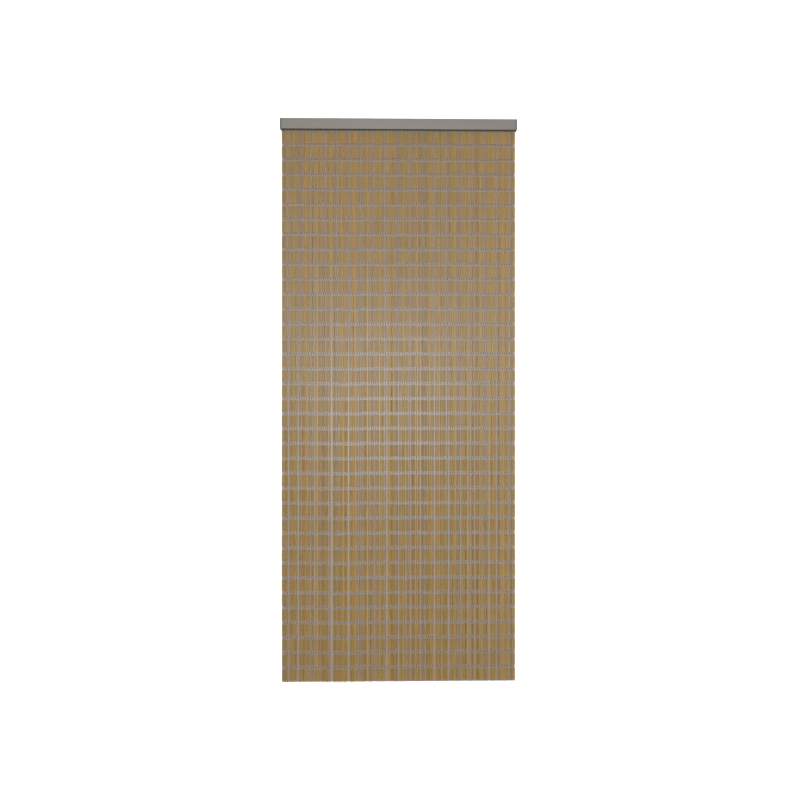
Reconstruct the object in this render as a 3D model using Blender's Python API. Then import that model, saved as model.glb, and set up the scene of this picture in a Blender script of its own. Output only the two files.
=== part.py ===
"""Tube fly curtain on its header rail, in metres, +Z up, seen from -Y.

The origin is the middle of the rail's back face, which lies on the wall above a doorway.
The rail is an open aluminium channel, closed by a cap at each end. A carrier strip lies on two
ledges inside it, and the strands hang from that strip: each is a string of short plastic tubes
linked by wire eyes. A strand is modelled here as one plain four-sided bar of the tubes' width.
"""

import math
from typing import NamedTuple

import bpy
import numpy as np

# Driving dimensions
CURTAIN_WIDTH = 0.900
STRAND_COUNT = 98
STRAND_PITCH = 0.0091
TUBES_PER_STRAND = 37
TUBE_DIAMETER = 0.0071
TUBE_LENGTH = 0.0460
ROW_PITCH = 0.0568
EYE_HEIGHT = 0.0060

RAIL_HEIGHT = 0.041
RAIL_DEPTH = 0.026
RAIL_WALL = 0.0014
RAIL_CORNER_RADIUS = 0.0022
LEDGE_REACH = 0.0060
LEDGE_UNDERSIDE_Z = -0.0090

STRIP_THICKNESS = 0.0025
STRIP_END_MARGIN = 0.0015
CAP_FLANGE = 0.0045
PLUG_LENGTH = 0.0100

FIT_GAP = 0.0003
STRIP_SIDE_GAP = 0.0004
PLUG_ABOVE_STRIP = 0.0005

# How a strand is cut into levels, and how evenly it hangs
NECK_WIDTH = 0.0024
NECK_BITE = 0.0012
INNER_LEVELS = 5
FIRST_ROW_ABOVE_LIP = 0.0009
LEAST_STRAND_GAP = 0.0004
STRAND_GIVE = 0.0012
DRIFT_STEP = 0.00045
DRIFT_MEMORY = 0.8
DRIFT_SEED = 11
LENGTH_SPREAD = 0.0009
LENGTH_SEED = 23
HEM_DIP = 0.0035
HEM_DIP_X = -0.215
HEM_DIP_REACH = 0.090
SPREADING_PASSES = 60

# Worked out from the driving dimensions
RAIL_TOP_Z = RAIL_HEIGHT / 2
RAIL_LIP_Z = -RAIL_HEIGHT / 2
LEDGE_TOP_Z = LEDGE_UNDERSIDE_Z + RAIL_WALL
STRIP_UNDERSIDE_Z = LEDGE_TOP_Z + FIT_GAP
STRIP_TOP_Z = STRIP_UNDERSIDE_Z + STRIP_THICKNESS
PROFILE_LENGTH = CURTAIN_WIDTH - 2 * (CAP_FLANGE + FIT_GAP)
STRIP_LENGTH = PROFILE_LENGTH - 2 * STRIP_END_MARGIN
STRAND_Y = -RAIL_DEPTH / 2
STRAND_SPAN = (STRAND_COUNT - 1) * STRAND_PITCH
ROW_GAP = ROW_PITCH - TUBE_LENGTH
FIRST_ROW_Z = RAIL_LIP_Z + FIRST_ROW_ABOVE_LIP
TUBES_TOP_Z = FIRST_ROW_Z - ROW_GAP / 2
TUBES_BOTTOM_Z = FIRST_ROW_Z - (TUBES_PER_STRAND - 1) * ROW_PITCH - ROW_GAP / 2 - TUBE_LENGTH


class Parting(NamedTuple):
    """A place where the strands stand apart, which widens towards the hem."""

    place: float
    width: float
    start: float


# place: across the curtain; width: extra gap at the hem; start: share of the drop where it opens
PARTINGS = (
    Parting(place=-0.378, width=0.0052, start=0.25),
    Parting(place=-0.303, width=0.0014, start=0.45),
    Parting(place=-0.252, width=0.0092, start=0.10),
    Parting(place=-0.190, width=0.0062, start=0.30),
    Parting(place=-0.115, width=0.0034, start=0.20),
    Parting(place=-0.046, width=0.0046, start=0.25),
    Parting(place=0.050, width=0.0018, start=0.40),
    Parting(place=0.083, width=0.0034, start=0.20),
    Parting(place=0.103, width=0.0028, start=0.25),
    Parting(place=0.133, width=0.0034, start=0.30),
    Parting(place=0.160, width=0.0016, start=0.35),
    Parting(place=0.190, width=0.0046, start=0.20),
    Parting(place=0.268, width=0.0030, start=0.35),
    Parting(place=0.288, width=0.0022, start=0.45),
    Parting(place=0.349, width=0.0040, start=0.25),
)


class Finish(NamedTuple):
    """Colour, roughness and metallic value of one material."""

    colour: tuple
    roughness: float
    metallic: float


FINISHES = {
    "rail_aluminium": Finish(colour=(0.29, 0.27, 0.235, 1.0), roughness=0.45, metallic=0.8),
    "cap_plastic": Finish(colour=(0.16, 0.155, 0.14, 1.0), roughness=0.6, metallic=0.0),
    "tube_amber": Finish(colour=(0.42, 0.27, 0.095, 1.0), roughness=0.35, metallic=0.0),
}


def clear_scene():
    """Removes whatever the file held when the script started."""
    for thing in list(bpy.data.objects):
        bpy.data.objects.remove(thing, do_unlink=True)


def material(name):
    """The Principled material of that name, made once."""
    found = bpy.data.materials.get(name)
    if found:
        return found
    finish = FINISHES[name]
    made = bpy.data.materials.new(name)
    made.use_nodes = True
    shader = made.node_tree.nodes["Principled BSDF"]
    shader.inputs["Base Color"].default_value = finish.colour
    shader.inputs["Roughness"].default_value = finish.roughness
    shader.inputs["Metallic"].default_value = finish.metallic
    return made


def add_object(name, points, faces, material_name):
    """A mesh object from its points and faces."""
    mesh = bpy.data.meshes.new(name)
    mesh.from_pydata([tuple(map(float, point)) for point in points], [], faces)
    mesh.materials.append(material(material_name))
    mesh.validate()
    thing = bpy.data.objects.new(name, mesh)
    bpy.context.scene.collection.objects.link(thing)
    return thing


def prism_along_x(outline, start, end):
    """Points and faces of a (y, z) outline carried along X, closed at both ends."""
    count = len(outline)
    points = [(start, y, z) for y, z in outline] + [(end, y, z) for y, z in outline]
    faces = [(i, (i + 1) % count, (i + 1) % count + count, i + count) for i in range(count)]
    faces += [tuple(reversed(range(count))), tuple(range(count, 2 * count))]
    return points, faces


def corner_arc(centre_y, centre_z, start_degrees, steps=4):
    """A quarter turn of the rail's rounded top corner, clockwise as seen from +X."""
    angles = [math.radians(start_degrees - 90 * i / steps) for i in range(steps + 1)]
    return [
        (centre_y + RAIL_CORNER_RADIUS * math.cos(a), centre_z + RAIL_CORNER_RADIUS * math.sin(a))
        for a in angles
    ]


def outer_outline():
    """The rail's outside in section, from the front lip over the top to the back lip."""
    arc_z = RAIL_TOP_Z - RAIL_CORNER_RADIUS
    front = corner_arc(-RAIL_DEPTH + RAIL_CORNER_RADIUS, arc_z, 180)
    back = corner_arc(-RAIL_CORNER_RADIUS, arc_z, 90)
    return [(-RAIL_DEPTH, RAIL_LIP_Z), *front, *back, (0.0, RAIL_LIP_Z)]


def side_inside(wall_y, inward):
    """The inner face of one wall with its ledge, from the lip up, as (y, z)."""
    ledge_y = wall_y + inward * LEDGE_REACH
    return [
        (wall_y, RAIL_LIP_Z),
        (wall_y, LEDGE_UNDERSIDE_Z),
        (ledge_y, LEDGE_UNDERSIDE_Z),
        (ledge_y, LEDGE_TOP_Z),
        (wall_y, LEDGE_TOP_Z),
        (wall_y, RAIL_TOP_Z - RAIL_WALL),
    ]


def build_rail():
    """The open channel with two ledges for the carrier strip."""
    back = side_inside(-RAIL_WALL, -1)
    front = side_inside(-RAIL_DEPTH + RAIL_WALL, 1)
    outline = outer_outline() + back + list(reversed(front))
    outline.reverse()
    half = PROFILE_LENGTH / 2
    rail = add_object("rail", *prism_along_x(outline, -half, half), "rail_aluminium")
    rail.data.shade_smooth()
    rail.data.set_sharp_from_angle(angle=math.radians(30))


def build_end_cap(name, side):
    """A cap over one end of the rail: a flange of the rail's outline and a plug above the strip."""
    flange_outline = list(reversed(outer_outline()))
    inner = PROFILE_LENGTH / 2 + FIT_GAP
    outer = CURTAIN_WIDTH / 2
    low, high = sorted((side * inner, side * outer))
    cap = add_object(name, *prism_along_x(flange_outline, low, high), "cap_plastic")

    near_y = -RAIL_WALL - FIT_GAP
    far_y = -RAIL_DEPTH + RAIL_WALL + FIT_GAP
    top = RAIL_TOP_Z - RAIL_WALL - FIT_GAP
    bottom = STRIP_TOP_Z + PLUG_ABOVE_STRIP
    plug_outline = [(near_y, bottom), (near_y, top), (far_y, top), (far_y, bottom)]
    plug_low, plug_high = sorted((side * (inner - PLUG_LENGTH), side * (inner + CAP_FLANGE / 2)))
    plug = add_object(name + "_plug", *prism_along_x(plug_outline, plug_low, plug_high), "cap_plastic")
    join_into(cap, plug)


def join_into(body, guide):
    """Unites a guide with a body by a live Boolean, and hides the guide."""
    guide.hide_render = True
    guide.display_type = "WIRE"
    union = body.modifiers.new("union", "BOOLEAN")
    union.operation = "UNION"
    union.object = guide


def parting_shift(share):
    """How far the partings move each strand sideways at one share of the drop."""
    shift = np.zeros(STRAND_COUNT)
    index = np.arange(STRAND_COUNT)
    for parting in PARTINGS:
        left = math.floor((parting.place + STRAND_SPAN / 2) / STRAND_PITCH)
        opened = np.clip((share - parting.start) / (1 - parting.start), 0, 1)
        half_width = parting.width / 2 * opened
        reach = math.ceil(parting.width / 2 / STRAND_GIVE)
        away = np.where(index > left, index - left - 1, left - index)
        fading = np.clip(1 - away / reach, 0, 1)
        shift += np.where(index > left, 1, -1) * half_width * fading
    return shift


def spread_apart(across):
    """Pushes neighbours apart until each pair has at least the least gap between them."""
    least = TUBE_DIAMETER + LEAST_STRAND_GAP
    across = across.copy()
    for _ in range(SPREADING_PASSES):
        short = np.clip(least - np.diff(across), 0, None) / 2
        across[:-1] -= short
        across[1:] += short
    return across


def strand_rows(shares):
    """The x of every strand at each share of the drop, one row for each share."""
    draws = np.random.RandomState(DRIFT_SEED).standard_normal((len(shares), STRAND_COUNT))
    even = np.arange(STRAND_COUNT) * STRAND_PITCH - STRAND_SPAN / 2
    drift = np.zeros(STRAND_COUNT)
    rows = []
    for step, share in enumerate(shares):
        if step:
            drift = DRIFT_MEMORY * drift + DRIFT_STEP * draws[step]
        rows.append(spread_apart(even + drift + parting_shift(share)))
    return np.array(rows)


def strand_drops(even_x):
    """How much longer than the nominal drop each strand hangs at its hem."""
    draws = np.random.RandomState(LENGTH_SEED).uniform(-1, 1, STRAND_COUNT)
    dip = HEM_DIP * np.exp(-(((even_x - HEM_DIP_X) / HEM_DIP_REACH) ** 2))
    return dip + LENGTH_SPREAD * draws


def strand_points(xs, zs, halves):
    """Four corners at each level of one strand."""
    corners = ((-1, -1), (1, -1), (1, 1), (-1, 1))
    return [
        (x + half * sx, STRAND_Y + half * sy, z)
        for x, z, half in zip(xs, zs, halves)
        for sx, sy in corners
    ]


def bar_faces(first, levels):
    """Faces of one four-sided bar whose points start at first, top level first."""
    faces = [(first, first + 1, first + 2, first + 3)]
    for level in range(levels - 1):
        top = first + 4 * level
        for side in range(4):
            after = (side + 1) % 4
            faces.append((top + side, top + 4 + side, top + 4 + after, top + after))
    last = first + 4 * (levels - 1)
    faces.append((last + 3, last + 2, last + 1, last))
    return faces


def build_strands():
    """The carrier strip with every strand hanging from it, fused into one solid."""
    half_y = RAIL_DEPTH / 2 - RAIL_WALL - STRIP_SIDE_GAP
    strip_outline = [
        (STRAND_Y + half_y, STRIP_UNDERSIDE_Z),
        (STRAND_Y + half_y, STRIP_TOP_Z),
        (STRAND_Y - half_y, STRIP_TOP_Z),
        (STRAND_Y - half_y, STRIP_UNDERSIDE_Z),
    ]
    half_x = STRIP_LENGTH / 2
    strip = add_object("strands", *prism_along_x(strip_outline, -half_x, half_x), "tube_amber")

    shares = np.linspace(0, 1, INNER_LEVELS + 2)
    rows = strand_rows(shares)
    drops = strand_drops(rows[0])
    neck_half, tube_half = NECK_WIDTH / 2, TUBE_DIAMETER / 2
    halves = [neck_half, neck_half] + [tube_half] * len(shares) + [neck_half, neck_half]
    points, faces = [], []
    for strand in range(STRAND_COUNT):
        length = TUBES_TOP_Z - TUBES_BOTTOM_Z + drops[strand]
        bottom = TUBES_TOP_Z - length
        zs = [STRIP_UNDERSIDE_Z + NECK_BITE, TUBES_TOP_Z]
        zs += [TUBES_TOP_Z - share * length for share in shares]
        zs += [bottom, bottom - EYE_HEIGHT]
        xs = [rows[0, strand]] * 2 + list(rows[:, strand]) + [rows[-1, strand]] * 2
        faces += bar_faces(len(points), len(zs))
        points += strand_points(xs, zs, halves)
    bundle = add_object("strand_bundle", points, faces, "tube_amber")
    join_into(strip, bundle)


def main():
    """Builds the rail, its caps, and the strands on their carrier strip."""
    clear_scene()
    build_rail()
    build_end_cap("end_cap_left", -1)
    build_end_cap("end_cap_right", 1)
    build_strands()


main()
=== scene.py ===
"""Looks of the tube fly curtain and its header rail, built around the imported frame.

Metres, +Z up, seen from -Y. The origin is the middle of the rail's back face. The strands are
strings of short plastic tubes: a wire link runs through each tube, with an eye at either end,
and each eye is hooked into the next link's.
"""

import logging
import math
from dataclasses import dataclass, field
from enum import Enum

import bpy
import numpy as np
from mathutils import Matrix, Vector


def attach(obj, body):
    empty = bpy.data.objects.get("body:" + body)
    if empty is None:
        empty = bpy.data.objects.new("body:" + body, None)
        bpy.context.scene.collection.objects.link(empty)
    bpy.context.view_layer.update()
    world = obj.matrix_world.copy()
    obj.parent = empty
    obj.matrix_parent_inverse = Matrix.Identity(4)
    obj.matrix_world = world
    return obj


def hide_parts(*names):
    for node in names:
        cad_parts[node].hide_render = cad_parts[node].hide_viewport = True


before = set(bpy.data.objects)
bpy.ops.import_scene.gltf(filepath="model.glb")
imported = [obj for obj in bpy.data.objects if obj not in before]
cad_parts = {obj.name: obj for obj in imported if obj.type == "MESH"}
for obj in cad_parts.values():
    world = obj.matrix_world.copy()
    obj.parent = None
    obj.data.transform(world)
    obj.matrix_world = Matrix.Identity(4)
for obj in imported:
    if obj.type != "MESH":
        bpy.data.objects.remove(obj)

LOG = logging.getLogger("fly_curtain")
ROOT = "root"

# The attribute that gives each tube its shade, its pale ends and the painted highlight on its top
# end.
TUBE_LOOK = "tube_look"

# Noise mostly lies between these two.
NOISE_LOW = 0.3
NOISE_HIGH = 0.7

# The Mix node's colour sockets go by number, because their names repeat.
MIX_AMOUNT = 0
MIX_FIRST = 6
MIX_SECOND = 7
MIX_RESULT = 2

Colour = tuple[float, float, float, float]
Triple = tuple[float, float, float]


class Socket(str, Enum):
    """The Principled shader's inputs that the finishes set."""

    COLOUR = "Base Color"
    METALLIC = "Metallic"
    ROUGHNESS = "Roughness"
    IOR = "IOR"
    NORMAL = "Normal"
    TRANSMISSION = "Transmission Weight"
    SUBSURFACE = "Subsurface Weight"
    SUBSURFACE_RADIUS = "Subsurface Radius"
    SUBSURFACE_SCALE = "Subsurface Scale"
    SPECULAR = "Specular IOR Level"
    EMISSION = "Emission Color"
    GLOW = "Emission Strength"


class Blend(str, Enum):
    """The ways in which two colours mix."""

    MIX = "MIX"
    MULTIPLY = "MULTIPLY"


class NodeGraph:
    """A node tree, with a short way to add nodes that are already linked."""

    def __init__(self, tree: bpy.types.NodeTree) -> None:
        """Takes up a tree.

        Args:
            tree: the tree that the nodes go into.
        """
        self.tree = tree

    def node(self, kind: str, links: dict | None = None, **settings: object) -> bpy.types.Node:
        """Adds a node.

        Args:
            kind: the node's type.
            links: input name or number to the output or the value that goes there.
            **settings: the node's own properties.

        Returns:
            The new node.
        """
        made = self.tree.nodes.new(kind)
        for name, value in settings.items():
            setattr(made, name, value)
        for name, source in (links or {}).items():
            if isinstance(source, bpy.types.NodeSocket):
                self.tree.links.new(source, made.inputs[name])
            else:
                made.inputs[name].default_value = source
        return made

    def mix(
        self,
        amount: bpy.types.NodeSocket | float,
        first: bpy.types.NodeSocket | Colour,
        second: bpy.types.NodeSocket | Colour,
        blend: Blend = Blend.MIX,
    ) -> bpy.types.NodeSocket:
        """Mixes two colours.

        Args:
            amount: how much of the second.
            first: the first colour.
            second: the second colour.
            blend: the way they mix.

        Returns:
            The mixed colour.
        """
        links = {MIX_AMOUNT: amount, MIX_FIRST: first, MIX_SECOND: second}
        made = self.node("ShaderNodeMix", links, data_type="RGBA", blend_type=blend.value)
        return made.outputs[MIX_RESULT]


class Shader(NodeGraph):
    """A material under construction: its Principled shader and the nodes that feed it."""

    def __init__(self, name: str) -> None:
        """Starts a material.

        Args:
            name: the material's name.
        """
        self.material = bpy.data.materials.new(name)
        self.material.use_nodes = True
        super().__init__(self.material.node_tree)
        self.surface = self.tree.nodes["Principled BSDF"]
        self.output = self.tree.nodes["Material Output"]

    def set(self, socket: Socket, value: float | Triple | Colour) -> None:
        """Sets one input of the shader itself.

        Args:
            socket: which input.
            value: a number, or a colour or vector as a tuple.
        """
        self.surface.inputs[socket.value].default_value = value

    def feed(self, socket: Socket, source: bpy.types.NodeSocket) -> None:
        """Links a node's output to one input of the shader.

        Args:
            socket: which input.
            source: the output that drives it.
        """
        self.tree.links.new(source, self.surface.inputs[socket.value])

    def noise(self, stretch: Triple, detail: float = 2.0) -> bpy.types.NodeSocket:
        """Noise on object coordinates.

        Args:
            stretch: how many lumps to a metre along each axis.
            detail: how many finer layers it has.

        Returns:
            The noise, from 0 to 1.
        """
        place = self.node("ShaderNodeTexCoord").outputs["Object"]
        stretched = self.node("ShaderNodeMapping", {"Vector": place, "Scale": stretch}).outputs[0]
        links = {"Vector": stretched, "Scale": 1.0, "Detail": detail}
        return self.node("ShaderNodeTexNoise", links).outputs["Fac"]

    def spread(self, source: bpy.types.NodeSocket, low: float, high: float) -> bpy.types.NodeSocket:
        """Maps the middle of noise's range evenly between two values.

        Args:
            source: the noise.
            low: the value for the noise's low end.
            high: the value for its high end.

        Returns:
            The mapped value.
        """
        links = {"Value": source, "From Min": NOISE_LOW, "From Max": NOISE_HIGH}
        links |= {"To Min": low, "To Max": high}
        return self.node("ShaderNodeMapRange", links).outputs["Result"]

    def bump(self, height: bpy.types.NodeSocket, strength: float, distance: float) -> None:
        """Feeds the shader's normal from a height.

        Args:
            height: the height, from 0 to 1.
            strength: how much of it shows.
            distance: the height's range in metres.
        """
        links = {"Height": height, "Strength": strength, "Distance": distance}
        self.feed(Socket.NORMAL, self.node("ShaderNodeBump", links).outputs["Normal"])


@dataclass(frozen=True)
class AmberTube:
    """Translucent amber plastic: each tube its own shade, pale cut ends, a painted highlight on
    top.
    """

    yellow: Colour = (0.515, 0.321, 0.045, 1.0)
    orange: Colour = (0.495, 0.263, 0.038, 1.0)
    darkest: float = 0.75
    lightest: float = 1.20
    streak: Colour = (0.78, 0.65, 0.40, 1.0)
    streak_lumps: Triple = (700.0, 700.0, 14.0)
    streak_share: float = 0.12
    # The pale end colour and how much of it shows: partly the cut ends' own paleness, partly a
    # painted highlight on the top end.
    cut: Colour = (0.60, 0.48, 0.27, 1.0)
    end_paleness_and_highlight: float = 0.75
    wear_lumps: Triple = (90.0, 90.0, 30.0)
    roughness_low: float = 0.32
    roughness_high: float = 0.44
    ior: float = 1.5
    specular: float = 0.9
    transmission: float = 0.38
    subsurface: float = 0.15
    scatter_reach: Triple = (1.0, 0.55, 0.2)
    scatter_depth: float = 0.0015
    grain_lumps: Triple = (1500.0, 1500.0, 25.0)
    grain_strength: float = 0.12
    grain_height: float = 0.0002

    def material(self) -> bpy.types.Material:
        """The finish as a material, which reads the tubes' own attribute.

        The attribute's red is a tube's hue, its green the depth of its colour, and its blue how
        pale the tube is at that place: a little at the cut ends, and much more at the top end,
        where the paleness is a painted highlight.

        Returns:
            The material.
        """
        shader = Shader("amber_tube")
        look = shader.node("ShaderNodeAttribute", attribute_name=TUBE_LOOK)
        parts = shader.node("ShaderNodeSeparateColor", {"Color": look.outputs["Color"]}).outputs
        hue = shader.mix(parts["Red"], self.yellow, self.orange)
        links = {"Value": parts["Green"], "To Min": self.darkest, "To Max": self.lightest}
        depth = shader.node("ShaderNodeMapRange", links).outputs["Result"]
        grey = shader.node("ShaderNodeCombineColor", {"Red": depth, "Green": depth, "Blue": depth})
        shaded = shader.mix(1.0, hue, grey.outputs[0], Blend.MULTIPLY)
        streaks = shader.noise(self.streak_lumps, detail=3.0)
        streaks = shader.spread(streaks, 0.0, self.streak_share)
        streaked = shader.mix(streaks, shaded, self.streak)
        # The pale ends, whose much paler top is a painted highlight, mix in the cut colour by the
        # attribute's blue.
        links = {0: parts["Blue"], 1: self.end_paleness_and_highlight}
        pale_ends_and_highlight = shader.node("ShaderNodeMath", links, operation="MULTIPLY").outputs[0]
        shader.feed(Socket.COLOUR, shader.mix(pale_ends_and_highlight, streaked, self.cut))
        wear = shader.noise(self.wear_lumps)
        rough = shader.spread(wear, self.roughness_low, self.roughness_high)
        shader.feed(Socket.ROUGHNESS, rough)
        shader.set(Socket.IOR, self.ior)
        shader.set(Socket.SPECULAR, self.specular)
        shader.set(Socket.TRANSMISSION, self.transmission)
        shader.set(Socket.SUBSURFACE, self.subsurface)
        shader.set(Socket.SUBSURFACE_RADIUS, self.scatter_reach)
        shader.set(Socket.SUBSURFACE_SCALE, self.scatter_depth)
        shader.bump(shader.noise(self.grain_lumps), self.grain_strength, self.grain_height)
        return shader.material


@dataclass(frozen=True)
class GalvanisedWire:
    """Zinc-grey steel wire, a little mottled."""

    bright: Colour = (0.19, 0.177, 0.166, 1.0)
    dull: Colour = (0.105, 0.097, 0.091, 1.0)
    mottle_lumps: Triple = (260.0, 260.0, 260.0)
    roughness_low: float = 0.22
    roughness_high: float = 0.42

    def material(self) -> bpy.types.Material:
        """The finish as a material.

        Returns:
            The material.
        """
        shader = Shader("galvanised_wire")
        mottle = shader.noise(self.mottle_lumps, detail=3.0)
        colour = shader.mix(shader.spread(mottle, 0.0, 1.0), self.bright, self.dull)
        shader.feed(Socket.COLOUR, colour)
        rough = shader.spread(mottle, self.roughness_low, self.roughness_high)
        shader.feed(Socket.ROUGHNESS, rough)
        shader.set(Socket.METALLIC, 1.0)
        return shader.material


@dataclass(frozen=True)
class SatinAluminium:
    """Warm grey satin aluminium, with faint drawing lines along the rail."""

    tone: Colour = (0.329, 0.304, 0.256, 1.0)
    shade: Colour = (0.290, 0.269, 0.225, 1.0)
    line_lumps: Triple = (3.0, 1400.0, 1400.0)
    line_share: float = 0.6
    line_strength: float = 0.05
    line_height: float = 0.0001
    cloud_lumps: Triple = (9.0, 30.0, 30.0)
    cloud_share: float = 0.35
    metallic: float = 0.55
    roughness_low: float = 0.38
    roughness_high: float = 0.50

    def material(self) -> bpy.types.Material:
        """The finish as a material.

        Returns:
            The material.
        """
        shader = Shader("satin_aluminium")
        lines = shader.noise(self.line_lumps, detail=3.0)
        cloud = shader.noise(self.cloud_lumps)
        lined = shader.mix(shader.spread(lines, 0.0, self.line_share), self.tone, self.shade)
        clouded = shader.mix(shader.spread(cloud, 0.0, self.cloud_share), lined, self.shade)
        shader.feed(Socket.COLOUR, clouded)
        rough = shader.spread(lines, self.roughness_low, self.roughness_high)
        shader.feed(Socket.ROUGHNESS, rough)
        shader.set(Socket.METALLIC, self.metallic)
        shader.bump(lines, self.line_strength, self.line_height)
        return shader.material


@dataclass(frozen=True)
class MouldedPlastic:
    """Plain moulded plastic with a fine grain."""

    name: str
    tone: Colour
    shade: Colour
    roughness: float = 0.55
    roughness_play: float = 0.06
    cloud_lumps: Triple = (45.0, 45.0, 45.0)
    grain_lumps: Triple = (2200.0, 2200.0, 2200.0)
    grain_strength: float = 0.15
    grain_height: float = 0.0001

    def material(self) -> bpy.types.Material:
        """The finish as a material.

        Returns:
            The material.
        """
        shader = Shader(self.name)
        cloud = shader.noise(self.cloud_lumps, detail=3.0)
        colour = shader.mix(shader.spread(cloud, 0.0, 1.0), self.tone, self.shade)
        shader.feed(Socket.COLOUR, colour)
        low, high = self.roughness - self.roughness_play, self.roughness + self.roughness_play
        shader.feed(Socket.ROUGHNESS, shader.spread(cloud, low, high))
        grain = shader.noise(self.grain_lumps, detail=1.0)
        shader.bump(grain, self.grain_strength, self.grain_height)
        return shader.material


CAP_FINISH = MouldedPlastic(
    name="cap_grey",
    tone=(0.088, 0.085, 0.076, 1.0),
    shade=(0.072, 0.069, 0.062, 1.0),
)
STRIP_FINISH = MouldedPlastic(
    name="strip_grey",
    tone=(0.42, 0.41, 0.38, 1.0),
    shade=(0.36, 0.35, 0.33, 1.0),
    roughness=0.5,
)


@dataclass(frozen=True)
class Parting:
    """A place where the strands stand apart, more so towards the hem."""

    place: float
    width: float
    start: float


PARTINGS = (
    Parting(place=-0.378, width=0.0052, start=0.25),
    Parting(place=-0.303, width=0.0014, start=0.45),
    Parting(place=-0.252, width=0.0092, start=0.10),
    Parting(place=-0.190, width=0.0062, start=0.30),
    Parting(place=-0.115, width=0.0034, start=0.20),
    Parting(place=-0.046, width=0.0046, start=0.25),
    Parting(place=0.050, width=0.0018, start=0.40),
    Parting(place=0.083, width=0.0034, start=0.20),
    Parting(place=0.103, width=0.0028, start=0.25),
    Parting(place=0.133, width=0.0034, start=0.30),
    Parting(place=0.160, width=0.0016, start=0.35),
    Parting(place=0.190, width=0.0046, start=0.20),
    Parting(place=0.268, width=0.0030, start=0.35),
    Parting(place=0.288, width=0.0022, start=0.45),
    Parting(place=0.349, width=0.0040, start=0.25),
)


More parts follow.
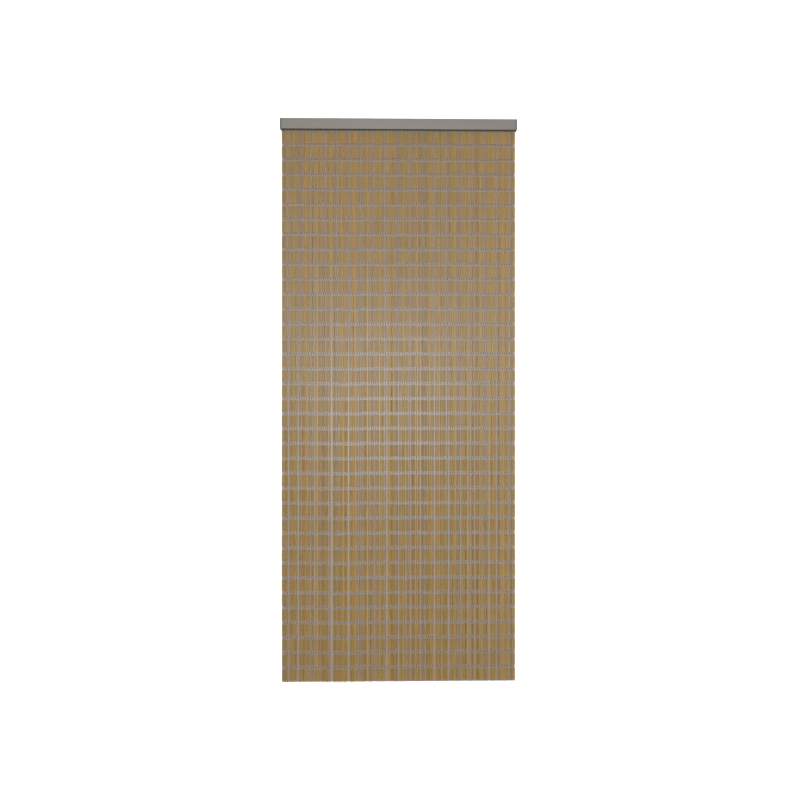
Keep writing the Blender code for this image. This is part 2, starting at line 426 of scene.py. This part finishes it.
@dataclass(frozen=True)
class Hang:
    """Where every joint of every strand hangs, on the same lines as the solid strands."""

    strands: int = 98
    tubes: int = 37
    pitch: float = 0.0091
    row_pitch: float = 0.0568
    tube_width: float = 0.0071
    tube_length: float = 0.0460
    first_row: float = -0.0196
    plane: float = -0.013
    levels: int = 7
    least_gap: float = 0.0004
    give: float = 0.0012
    drift_step: float = 0.00045
    drift_memory: float = 0.8
    drift_seed: int = 11
    length_spread: float = 0.0009
    length_seed: int = 23
    dip: float = 0.0035
    dip_place: float = -0.215
    dip_reach: float = 0.090
    passes: int = 60
    joint_seed: int = 5
    joint_gap: float = 0.0001
    joint_most: float = 2.0
    joint_shift: float = 0.00020
    joint_swing: float = 0.0005
    strand_swing: float = 0.0011
    joint_rise: float = 0.00030
    strand_rise: float = 0.0006

    @property
    def span(self) -> float:
        """From the first strand's middle to the last one's."""
        return (self.strands - 1) * self.pitch

    def parting_shift(self, share: float) -> np.ndarray:
        """How far the partings move the strands sideways.

        Each parting pushes its neighbours away by half its width, fading strand by strand. The
        width grows evenly down the drop, from 0 where the parting starts.

        Args:
            share: how far down the drop, from 0 to 1.

        Returns:
            The shift of each strand.
        """
        shift = np.zeros(self.strands)
        index = np.arange(self.strands)
        for parting in PARTINGS:
            left = math.floor((parting.place + self.span / 2) / self.pitch)
            opened = np.clip((share - parting.start) / (1 - parting.start), 0, 1)
            half_width = parting.width / 2 * opened
            reach = math.ceil(parting.width / 2 / self.give)
            away = np.where(index > left, index - left - 1, left - index)
            fading = np.clip(1 - away / reach, 0, 1)
            shift += np.where(index > left, 1, -1) * half_width * fading
        return shift

    def spread_apart(self, across: np.ndarray, gap: float) -> np.ndarray:
        """Pushes neighbours apart, each by half of what their gap lacks, over many passes.

        Args:
            across: the x of each strand.
            gap: the least gap between two tubes.

        Returns:
            The x of each strand, spread.
        """
        least = self.tube_width + gap
        across = across.copy()
        for _ in range(self.passes):
            short = np.clip(least - np.diff(across), 0, None) / 2
            across[:-1] -= short
            across[1:] += short
        return across

    def level_rows(self) -> np.ndarray:
        """The x of each strand at the levels where the solid strands bend: a damped random walk.

        Returns:
            One row for each level, one column for each strand.
        """
        draws = np.random.RandomState(self.drift_seed).standard_normal((self.levels, self.strands))
        even = np.arange(self.strands) * self.pitch - self.span / 2
        drift = np.zeros(self.strands)
        rows = []
        for step, share in enumerate(np.linspace(0, 1, self.levels)):
            if step:
                drift = self.drift_memory * drift + self.drift_step * draws[step]
            across = even + drift + self.parting_shift(share)
            rows.append(self.spread_apart(across, self.least_gap))
        return np.array(rows)

    def drops(self, even_x: np.ndarray) -> np.ndarray:
        """How much longer than nominal each strand is: a bell-shaped dip and a random part.

        Args:
            even_x: the x of each strand at the rail.

        Returns:
            The extra length of each strand.
        """
        draws = np.random.RandomState(self.length_seed).uniform(-1, 1, self.strands)
        bell = np.exp(-(((even_x - self.dip_place) / self.dip_reach) ** 2))
        return self.dip * bell + self.length_spread * draws

    def jitter(self, draw: np.random.RandomState) -> np.ndarray:
        """A bell-curve number for every joint, cut off at joint_most either way."""
        numbers = draw.standard_normal((self.tubes + 1, self.strands))
        return np.clip(numbers, -self.joint_most, self.joint_most)

    def joints(self) -> np.ndarray:
        """The middle of every joint: even rows, moved along the solid strands' lines and jittered.

        The top joints, which the hangers hold, get no jitter.

        Returns:
            An array of joints by strands by (x, y, z), the top joint first.
        """
        rows = self.level_rows()
        row_gap = self.row_pitch - self.tube_length
        top = self.first_row - row_gap / 2
        drop = (self.tubes - 1) * self.row_pitch + self.tube_length
        nominal = self.first_row - np.arange(self.tubes + 1)[:, None] * self.row_pitch
        stretch = 1 + self.drops(rows[0])[None, :] / drop
        z = top - (top - nominal) * stretch

        share = np.clip((top - nominal[:, 0]) / drop, 0, 1) * (self.levels - 1)
        lower = np.minimum(share.astype(int), self.levels - 2)
        part = (share - lower)[:, None]
        x = rows[lower] * (1 - part) + rows[lower + 1] * part

        draw = np.random.RandomState(self.joint_seed)
        down = (np.arange(self.tubes + 1) / self.tubes)[:, None]
        free = np.clip(down * self.tubes, 0, 1)
        x = x + self.jitter(draw) * self.joint_shift * free
        x = np.array([self.spread_apart(row, self.joint_gap) for row in x])
        sway = draw.uniform(-1, 1, self.strands) * self.strand_swing * np.sqrt(down)
        y = self.plane + sway + draw.uniform(-1, 1, x.shape) * self.joint_swing * free
        lift = draw.uniform(-1, 1, self.strands) * self.strand_rise
        z = z + (lift + self.jitter(draw) * self.joint_rise) * free
        return np.stack([x, y, z], axis=-1)


def unit(vectors: np.ndarray) -> np.ndarray:
    """Vectors of length 1 in the same directions.

    Args:
        vectors: the vectors, along the last axis.

    Returns:
        The unit vectors.
    """
    return vectors / np.linalg.norm(vectors, axis=-1, keepdims=True)


def pipe_quads(rings: int, sides: int, closed: bool) -> np.ndarray:
    """Quads round a pipe, between each ring of points and the next.

    Points are numbered ring by ring, so point s of ring r is r times sides, plus s.

    Args:
        rings: how many rings there are.
        sides: how many points a ring has.
        closed: whether the last ring joins the first.

    Returns:
        Four point numbers for each quad.
    """
    bands = rings if closed else rings - 1
    ring, side = np.meshgrid(np.arange(bands), np.arange(sides), indexing="ij")
    after = (side + 1) % sides
    low = ring * sides
    high = (ring + 1) % rings * sides
    quads = [low + side, low + after, high + after, high + side]
    return np.stack(quads, axis=-1).reshape(-1, 4)


def pipe_map(levels: np.ndarray, sides: int, left: float, width: float) -> np.ndarray:
    """A pipe's quads unrolled in its cell: the angle across, and the rings upwards.

    Args:
        levels: how high in the cell each ring lies, one more than there are bands of quads.
        sides: how many points a ring has.
        left: where in the cell the sides start.
        width: how much of the cell's width they take.

    Returns:
        The four corners of each quad, in the order of the quads.
    """
    ring, side = np.meshgrid(np.arange(len(levels) - 1), np.arange(sides), indexing="ij")
    start = left + width * side / sides
    end = left + width * (side + 1) / sides
    low, high = levels[ring], levels[ring + 1]
    corners = [(start, low), (end, low), (end, high), (start, high)]
    return np.stack([np.stack(c, axis=-1) for c in corners], axis=-2).reshape(-1, 2)


def repeated(faces: np.ndarray, points_each: int, count: int) -> np.ndarray:
    """The faces of many copies of one shape.

    Args:
        faces: one copy's faces.
        points_each: how many points one copy has.
        count: how many copies.

    Returns:
        All the faces, copy after copy.
    """
    steps = np.arange(count)[:, None, None] * points_each
    return (faces[None] + steps).reshape(-1, faces.shape[1])


def mesh_piece(
    name: str,
    points: np.ndarray,
    faces: np.ndarray,
    material: bpy.types.Material,
    sharp_degrees: float = 40.0,
) -> bpy.types.Object:
    """An object from arrays, shaded smooth apart from its sharp edges.

    Args:
        name: the piece's name.
        points: its points, one row each.
        faces: its faces, one row of point numbers each.
        material: its finish.
        sharp_degrees: the angle past which an edge is sharp.

    Returns:
        The object, at the origin.
    """
    mesh = bpy.data.meshes.new(name)
    mesh.from_pydata(points.reshape(-1, 3), [], faces)
    mesh.materials.append(material)
    mesh.shade_smooth()
    mesh.set_sharp_from_angle(angle=math.radians(sharp_degrees))
    thing = bpy.data.objects.new(name, mesh)
    bpy.context.scene.collection.objects.link(thing)
    return thing


def lay_map(thing: bpy.types.Object, corner_uv: np.ndarray, columns: int, rows: int) -> None:
    """Gives each copy of a shape its own cell in the piece's map.

    Args:
        thing: the piece, whose copies run row by row.
        corner_uv: one copy's corners, from 0 to 1 inside its cell.
        columns: how many copies lie in a row.
        rows: how many rows there are.
    """
    index = np.arange(columns * rows)
    corner = np.stack([index % columns, rows - 1 - index // columns], axis=-1)[:, None, :]
    placed = (corner + corner_uv[None]) / np.array([columns, rows])
    layer = thing.data.uv_layers.new(name="OFBake")
    layer.uv.foreach_set("vector", placed.astype(np.float32).ravel())


def stand_for_strands(piece: bpy.types.Object) -> None:
    """Makes a piece ride on the curtain's one body, in place of the solid strands."""
    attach(piece, ROOT)
    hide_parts("strands")


@dataclass(frozen=True)
class TubeField:
    """The tubes of some neighbouring strands: open plastic pipes, one to a link."""

    hang: Hang
    outer: float = 0.00355
    bore: float = 0.00245
    sides: int = 10
    rings: int = 6
    rest: float = 0.00485
    # The pale bands at the cut ends: slight at the bottom, and at the top a wider, paler band that
    # is a painted highlight.
    top_highlight_band: float = 0.0034
    bottom_band: float = 0.0014
    top_pale_highlight: float = 1.0
    bottom_paleness: float = 0.6
    shade_seed: int = 41
    strand_share: float = 0.6
    tube_share: float = 0.4
    map_levels: tuple = (0.03, 0.12, 0.68, 0.80, 0.85, 0.93, 0.97)
    map_left: float = 0.04
    map_width: float = 0.92

    def ring_table(self) -> tuple[np.ndarray, np.ndarray, np.ndarray]:
        """The six rings of a tube, outside from the bottom to the top and back down the bore.

        Returns:
            Each ring's height from the bottom, its radius, and how pale it is; the top end's
            paleness is a painted highlight.
        """
        length = self.hang.tube_length
        heights = np.array([0, self.bottom_band, length - self.top_highlight_band, length, length, 0])
        radii = np.array([self.outer] * 4 + [self.bore] * 2)
        foot, head_highlight = self.bottom_paleness, self.top_pale_highlight
        end_paleness_and_highlight = np.array([foot, 0.0, 0.0, head_highlight, head_highlight, foot])
        return heights, radii, end_paleness_and_highlight

    def points(self, joints: np.ndarray) -> np.ndarray:
        """Rings round each tube's axis, which runs from its lower joint to its upper one.

        A point is the axis foot, plus its height along the axis, plus its radius times the cosine
        and sine of its angle along two directions square to the axis.

        Args:
            joints: the joints of the strands, top first.

        Returns:
            An array of tubes by strands by rings by sides by (x, y, z).
        """
        axis = unit(joints[:-1] - joints[1:])
        foot = joints[1:] + axis * self.rest
        across = unit(np.array([1.0, 0, 0]) - axis * axis[..., :1])
        forward = np.cross(axis, across)
        heights, radii, _ = self.ring_table()
        angles = np.arange(self.sides) * 2 * math.pi / self.sides
        along = heights[:, None, None]
        turn_x = (np.cos(angles)[None, :] * radii[:, None])[..., None]
        turn_y = (np.sin(angles)[None, :] * radii[:, None])[..., None]
        frames = (v[:, :, None, None, :] for v in (foot, axis, across, forward))
        foot, axis, across, forward = frames
        return foot + along * axis + turn_x * across + turn_y * forward

    def shades(self) -> np.ndarray:
        """Two random numbers from 0 to 1 for every tube: its hue and its depth of colour.

        A strand leans to one shade, and each of its tubes departs from it.

        Returns:
            An array of tubes by strands by 2.
        """
        draw = np.random.RandomState(self.shade_seed)
        strand = draw.uniform(0, 1, (1, self.hang.strands, 2))
        tube = draw.uniform(0, 1, (self.hang.tubes, self.hang.strands, 2))
        return np.clip(self.strand_share * strand + self.tube_share * tube, 0, 1)

    def build(
        self, name: str, joints: np.ndarray, first: int, last: int, material: bpy.types.Material
    ) -> bpy.types.Object:
        """The tubes of the strands from first up to last.

        Args:
            name: the piece's name.
            joints: every strand's joints.
            first: the first strand.
            last: the strand after the last one.
            material: the tubes' finish.

        Returns:
            The piece.
        """
        points = self.points(joints[:, first:last])
        rows, columns = points.shape[:2]
        one_tube = pipe_quads(self.rings, self.sides, closed=True)
        faces = repeated(one_tube, self.rings * self.sides, rows * columns)
        thing = mesh_piece(name, points, faces, material)
        levels = np.array(self.map_levels)
        unrolled = pipe_map(levels, self.sides, self.map_left, self.map_width)
        lay_map(thing, unrolled, columns, rows)
        look = np.ones((rows, columns, self.rings, self.sides, 4), np.float32)
        look[..., 0:2] = self.shades()[:, first:last, None, None, :]
        # The blue: each ring's paleness, with the painted highlight at the top end.
        look[..., 2] = self.ring_table()[2][:, None]
        layer = thing.data.color_attributes.new(TUBE_LOOK, "FLOAT_COLOR", "POINT")
        layer.data.foreach_set("color", look.ravel())
        return thing


@dataclass(frozen=True)
class LinkField:
    """Wire links: a straight shank with a round eye at either end."""

    wire: float = 0.0006
    eye: float = 0.0024
    eye_steps: int = 8
    eye_turn: float = 335.0
    eyes_apart: float = 10.0
    half_hook: float = 0.0018
    sides: int = 4
    map_left: float = 0.05
    map_width: float = 0.8
    map_foot: float = 0.04
    map_height: float = 0.92
    end_size: float = 0.08
    lower_end: tuple[float, float] = (0.89, 0.1)
    upper_end: tuple[float, float] = (0.89, 0.6)

    @property
    def path_points(self) -> int:
        """How many points the path has, over both eyes."""
        return 2 * (self.eye_steps + 1)

    def path(self) -> tuple[np.ndarray, np.ndarray]:
        """The wire's path in its own plane, from the upper eye's free end to the lower one's.

        An eye is a circle round its own middle that starts where the shank meets it and stops
        short of a full turn. The side direction is the path's direction turned by a right angle.
        For the directions alone, the eyes stand a few of their radii apart, as the shank's length
        doesn't change them.

        Returns:
            Each point's place from its own eye's middle, and its side direction.
        """
        turn = np.radians(np.arange(self.eye_steps + 1) * self.eye_turn / self.eye_steps)
        lower = np.stack([-np.sin(turn), np.cos(turn)], axis=-1) * self.eye
        upper = -lower[::-1]
        place = np.concatenate([upper, lower])
        apart = np.zeros_like(place)
        apart[: len(upper), 1] = self.eyes_apart * self.eye
        steps = unit(np.diff(place + apart, axis=0))
        ahead = unit(np.concatenate([steps[:1], steps[:-1] + steps[1:], steps[-1:]]))
        return place, np.stack([-ahead[:, 1], ahead[:, 0]], axis=-1)

    def points(self, upper: np.ndarray, lower: np.ndarray, turn: np.ndarray) -> np.ndarray:
        """Four points round each point of the path.

        A path point is its eye's middle, plus its place in the link's plane. The four stand a
        wire's radius away from it, along the side direction, the plane's normal and their
        opposites.

        Args:
            upper: the middle of each link's upper eye.
            lower: the middle of its lower eye.
            turn: the angle of the link's plane round its shank.

        Returns:
            An array of links by path points by 4 by (x, y, z).
        """
        place, side = self.path()
        half = len(place) // 2
        shank = unit(upper - lower)
        flat = np.stack([np.cos(turn), np.sin(turn), np.zeros_like(turn)], axis=-1)
        flat = unit(flat - shank * np.sum(flat * shank, axis=-1, keepdims=True))
        normal = np.cross(flat, shank)
        flat, shank, normal = (v[:, None, :] for v in (flat, shank, normal))
        middles = [np.repeat(eye[:, None], half, axis=1) for eye in (upper, lower)]
        middle = np.concatenate(middles, axis=1)
        centre = middle + place[None, :, :1] * flat + place[None, :, 1:] * shank
        beside = side[None, :, :1] * flat + side[None, :, 1:] * shank
        normal = np.broadcast_to(normal, beside.shape)
        round_wire = np.stack([beside, normal, -beside, -normal], axis=2)
        return centre[:, :, None, :] + self.wire * round_wire

    def faces(self) -> np.ndarray:
        """Quads along the wire's four sides, and one over each end.

        Returns:
            Four point numbers for each quad.
        """
        along = pipe_quads(self.path_points, self.sides, closed=False)
        first_end = np.arange(self.sides)[::-1]
        last_end = np.arange(self.sides) + self.sides * (self.path_points - 1)
        return np.concatenate([along, [first_end, last_end]])

    def corner_uv(self) -> np.ndarray:
        """One link unrolled in its cell: round the wire across, and along it upwards.

        Returns:
            The four corners of each quad, in the order of the quads.
        """
        count = self.path_points
        levels = self.map_foot + self.map_height * np.arange(count) / (count - 1)
        along = pipe_map(levels, self.sides, self.map_left, self.map_width)
        square = np.array([[0.0, 0.0], [1.0, 0.0], [1.0, 1.0], [0.0, 1.0]]) * self.end_size
        return np.concatenate([along, square + self.lower_end, square + self.upper_end])

    def build(
        self,
        name: str,
        upper: np.ndarray,
        lower: np.ndarray,
        turn: np.ndarray,
        material: bpy.types.Material,
    ) -> bpy.types.Object:
        """A piece of links, given row by row.

        Args:
            name: the piece's name.
            upper: rows by strands by (x, y, z) of the upper eyes' middles.
            lower: the same for the lower eyes.
            turn: rows by strands of the links' angles.
            material: the wire's finish.

        Returns:
            The piece.
        """
        rows, columns = turn.shape
        points = self.points(upper.reshape(-1, 3), lower.reshape(-1, 3), turn.ravel())
        faces = repeated(self.faces(), self.path_points * self.sides, rows * columns)
        thing = mesh_piece(name, points, faces, material, sharp_degrees=180.0)
        lay_map(thing, self.corner_uv(), columns, rows)
        return thing


@dataclass(frozen=True)
class StrandCurtain:
    """All the strands: tubes, the links through them and the hangers at the top."""

    hang: Hang = field(default_factory=Hang)
    groups: int = 4
    turn_seed: int = 67
    first_turn: float = 60.0
    cross_turn: float = 90.0
    turn_play: float = 35.0
    hanger_eye: float = -0.0012

    def turns(self) -> np.ndarray:
        """Each link's angle round its shank: square to the link above, give or take some play.

        Returns:
            An array of (hanger, then tubes) by strands, in radians.
        """
        draw = np.random.RandomState(self.turn_seed)
        size = (self.hang.tubes + 1, self.hang.strands)
        steps = self.cross_turn + draw.uniform(-self.turn_play, self.turn_play, size)
        steps[0] = draw.uniform(-self.first_turn, self.first_turn, self.hang.strands)
        return np.radians(np.cumsum(steps, axis=0))

    def build(self) -> list[bpy.types.Object]:
        """Builds the strands in groups of neighbours, left to right.

        Returns:
            The pieces.
        """
        tubes, links = TubeField(self.hang), LinkField()
        amber, wire = AmberTube().material(), GalvanisedWire().material()
        joints = self.hang.joints()
        turns = self.turns()
        axis = unit(joints[:-1] - joints[1:])
        upper = joints[:-1] - axis * links.half_hook
        lower = joints[1:] + axis * links.half_hook
        made = []
        edges = np.linspace(0, self.hang.strands, self.groups + 1).round().astype(int)
        for number, (first, last) in enumerate(zip(edges[:-1], edges[1:]), start=1):
            tube_piece = tubes.build(f"tubes_{number}", joints, first, last, amber)
            link_piece = links.build(
                f"links_{number}",
                upper[:, first:last],
                lower[:, first:last],
                turns[1:, first:last],
                wire,
            )
            made += [tube_piece, link_piece]
        made.append(self.hangers(links, joints, turns, wire))
        for piece in made:
            stand_for_strands(piece)
        return made

    def hangers(
        self,
        links: LinkField,
        joints: np.ndarray,
        turns: np.ndarray,
        wire: bpy.types.Material,
    ) -> bpy.types.Object:
        """The short links that hang each strand from the carrier strip.

        Args:
            links: the links' shape.
            joints: every strand's joints.
            turns: every link's angle.
            wire: the wire's finish.

        Returns:
            The piece.
        """
        lower = joints[:1] + np.array([0, 0, links.half_hook])
        upper = lower.copy()
        upper[..., 2] = self.hanger_eye
        return links.build("hangers", upper, lower, turns[:1], wire)


@dataclass(frozen=True)
class CarrierStrip:
    """The flat strip that lies on the rail's ledges and carries the hangers."""

    half_length: float = 0.4437
    half_depth: float = 0.0112
    underside: float = -0.0073
    top: float = -0.0048
    chamfer: float = 0.0004
    plane: float = -0.013

    def build(self) -> bpy.types.Object:
        """A chamfered section carried along X.

        The section is a rectangle with its corners cut off, and each flat end is three quads.

        Returns:
            The piece.
        """
        deep, cut, low, high = self.half_depth, self.chamfer, self.underside, self.top
        outline = np.array(
            [
                (deep, low + cut),
                (deep, high - cut),
                (deep - cut, high),
                (cut - deep, high),
                (-deep, high - cut),
                (-deep, low + cut),
                (cut - deep, low),
                (deep - cut, low),
            ]
        )
        count = len(outline)
        points = np.zeros((2, count, 3))
        points[0, :, 0] = -self.half_length
        points[1, :, 0] = self.half_length
        points[..., 1] = outline[:, 0] + self.plane
        points[..., 2] = outline[:, 1]
        left_end = np.array([[7, 6, 5, 0], [5, 4, 1, 0], [4, 3, 2, 1]])
        right_end = left_end[:, ::-1] + count
        faces = np.concatenate([pipe_quads(2, count, closed=False), left_end, right_end])
        piece = mesh_piece("carrier_strip", points, faces, STRIP_FINISH.material())
        stand_for_strands(piece)
        return piece


@dataclass(frozen=True)
class RailDress:
    """Finishes for the rail and its caps, whose solids stay as they are."""

    metal: SatinAluminium = field(default_factory=SatinAluminium)
    plastic: MouldedPlastic = CAP_FINISH

    def dress(self) -> list[bpy.types.Object]:
        """Gives each solid its material.

        Returns:
            The solids.
        """
        metal, plastic = self.metal.material(), self.plastic.material()
        finishes = {"rail": metal, "end_cap_left": plastic, "end_cap_right": plastic}
        dressed = []
        for node, material in finishes.items():
            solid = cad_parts[node]
            for slot in solid.material_slots:
                slot.material = material
            dressed.append(solid)
        return dressed


@dataclass(frozen=True)
class SkyStop:
    """The sky's colour where a direction's share along +Y has one value."""

    along: float
    colour: Triple

    @property
    def position(self) -> float:
        """Its place on a ramp from 0 for a share of -1 to 1 for a share of 1."""
        return (self.along + 1) / 2


SKY = (
    SkyStop(-1.00, (0.22, 0.22, 0.22)),
    SkyStop(-0.90, (0.22, 0.22, 0.22)),
    SkyStop(-0.70, (0.88, 0.88, 0.88)),
    SkyStop(0.70, (0.88, 0.88, 0.88)),
    SkyStop(0.88, (0.31, 0.245, 0.205)),
    SkyStop(0.94, (0.31, 0.245, 0.205)),
    SkyStop(0.99, (0.38, 0.325, 0.285)),
    SkyStop(1.00, (0.50, 0.452, 0.415)),
)


@dataclass(frozen=True)
class Studio:
    """A white wall round a doorway, a pale floor, soft light, and the camera."""

    wall_behind: float = 0.0008
    wall_half: float = 3.2
    door_half: float = 0.4448
    door_top: float = -0.002
    door_foot: float = -2.1258
    floor: float = -2.60
    reach: float = 9.0
    white: float = 0.92
    pale: float = 0.50
    glow: float = 0.5
    sheet_roughness: float = 0.9
    sheet_specular: float = 0.1
    pale_sky: float = 0.80
    pale_from: float = -0.2
    flash_place: Triple = (-0.05, -3.05, -0.62)
    flash_power: float = 49.5
    flash_tint: Triple = (0.85, 0.89, 1.0)
    flash_size: float = 0.3
    target: Triple = (0.005, -0.013, -1.049)
    azimuth: float = -1.0
    distance: float = 3.0
    frame_width: float = 3.050
    sensor: float = 36.0
    view_end: float = 60.0

    def sheet(
        self, name: str, points: list[Triple], faces: list[list[int]], grey: float, glow: float
    ) -> None:
        """A flat matt sheet of the stage, which can be seen through from behind.

        Args:
            name: its name.
            points: its corners.
            faces: the corner numbers of each face, anticlockwise as seen from its front.
            grey: how pale it is, from 0 to 1.
            glow: how much light it gives of itself.
        """
        shader = Shader(name + "_matt")
        shader.set(Socket.COLOUR, (grey, grey, grey, 1.0))
        shader.set(Socket.ROUGHNESS, self.sheet_roughness)
        shader.set(Socket.SPECULAR, self.sheet_specular)
        shader.set(Socket.EMISSION, (1.0, 1.0, 1.0, 1.0))
        shader.set(Socket.GLOW, glow)
        behind = shader.node("ShaderNodeNewGeometry").outputs["Backfacing"]
        clear = shader.node("ShaderNodeBsdfTransparent").outputs[0]
        links = {0: behind, 1: shader.surface.outputs[0], 2: clear}
        mixed = shader.node("ShaderNodeMixShader", links).outputs[0]
        shader.tree.links.new(mixed, shader.output.inputs["Surface"])
        sheet = mesh_piece(name, np.array(points), np.array(faces), shader.material)

    def build_sheets(self) -> None:
        """The wall close behind the curtain, open where a doorway is, and the floor.

        The wall has four outer and four inner corners, and one face on each side of the doorway.
        """
        w, y, z, r = self.wall_half, self.wall_behind, self.floor, self.reach
        h, top, foot = self.door_half, self.door_top, self.door_foot
        outer = [(-w, y, z), (w, y, z), (w, y, z + 2 * w), (-w, y, z + 2 * w)]
        inner = [(-h, y, foot), (h, y, foot), (h, y, top), (-h, y, top)]
        sides = [[0, 1, 5, 4], [1, 2, 6, 5], [2, 3, 7, 6], [3, 0, 4, 7]]
        self.sheet("wall", outer + inner, sides, self.white, self.glow)
        ground = [(-r, -r, z), (r, -r, z), (r, y, z), (-r, y, z)]
        self.sheet("floor", ground, [[0, 1, 2, 3]], self.pale, 0.0)

    def build_sky(self) -> None:
        """A pale sky, dimmer straight in front and in the room behind.

        The sky's colour follows its direction's share along +Y, from -1 in front of the curtain
        to 1 behind it, so that it lights the tubes from the side and little reaches the gaps.
        Seen from behind the curtain, the front of the sky is an even pale backdrop, which fades
        in between a share of 0 and pale_from.
        """
        world = bpy.data.worlds.new("studio_sky")
        world.use_nodes = True
        graph = NodeGraph(world.node_tree)
        direction = graph.node("ShaderNodeTexCoord").outputs["Generated"]
        along = graph.node("ShaderNodeSeparateXYZ", {0: direction}).outputs["Y"]
        links = {"Value": along, "From Min": -1.0, "From Max": 1.0}
        share = graph.node("ShaderNodeMapRange", links).outputs["Result"]
        ramp = graph.node("ShaderNodeValToRGB", {"Fac": share})
        stops = ramp.color_ramp.elements
        for stop in SKY[1:-1]:
            stops.new(stop.position)
        for element, stop in zip(stops, SKY):
            element.position = stop.position
            element.color = (*stop.colour, 1.0)
        links = {"Value": along, "From Min": 0.0, "From Max": self.pale_from}
        front = graph.node("ShaderNodeMapRange", links).outputs["Result"]
        shown = graph.node("ShaderNodeLightPath").outputs["Is Camera Ray"]
        seen = graph.node("ShaderNodeMath", {0: front, 1: shown}, operation="MULTIPLY").outputs[0]
        pale = (self.pale_sky, self.pale_sky, self.pale_sky, 1.0)
        backdrop = graph.mix(seen, ramp.outputs["Color"], pale)
        graph.tree.links.new(backdrop, graph.tree.nodes["Background"].inputs["Color"])
        bpy.context.scene.world = world

    def build_flash(self) -> None:
        """A small square flash above the camera, which faces the curtain and doesn't show."""
        light = bpy.data.lights.new("flash_light", "AREA")
        light.energy = self.flash_power
        light.size = self.flash_size
        light.color = self.flash_tint
        holder = bpy.data.objects.new("flash_light", light)
        holder.location = self.flash_place
        aim = Vector(self.target) - Vector(self.flash_place)
        holder.rotation_euler = aim.to_track_quat("-Z", "Y").to_euler()
        holder.visible_camera = False
        bpy.context.scene.collection.objects.link(holder)

    def build_camera(self) -> None:
        """A camera a little left of straight on, framed as the photograph is."""
        data = bpy.data.cameras.new("camera")
        data.sensor_width = self.sensor
        data.lens = self.sensor * self.distance / self.frame_width
        data.clip_end = self.view_end
        camera = bpy.data.objects.new("camera", data)
        angle = math.radians(self.azimuth)
        back = Vector((math.sin(angle), -math.cos(angle), 0.0))
        camera.location = Vector(self.target) + back * self.distance
        camera.rotation_euler = (-back).to_track_quat("-Z", "Y").to_euler()
        bpy.context.scene.collection.objects.link(camera)
        bpy.context.scene.camera = camera

    def build(self) -> None:
        """Sets up the whole studio, with colours shown as they are."""
        bpy.context.scene.view_settings.view_transform = "Standard"
        self.build_sheets()
        self.build_sky()
        self.build_flash()
        self.build_camera()


def main() -> None:
    """Dresses the frame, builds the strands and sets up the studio."""
    logging.basicConfig(level=logging.INFO, format="%(message)s")
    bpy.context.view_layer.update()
    pieces = RailDress().dress() + StrandCurtain().build() + [CarrierStrip().build()]
    for piece in pieces:
        LOG.info("%s: %d faces", piece.name, len(piece.data.polygons))
    Studio().build()
    LOG.info("studio: ready")


if __name__ == "__main__":
    main()
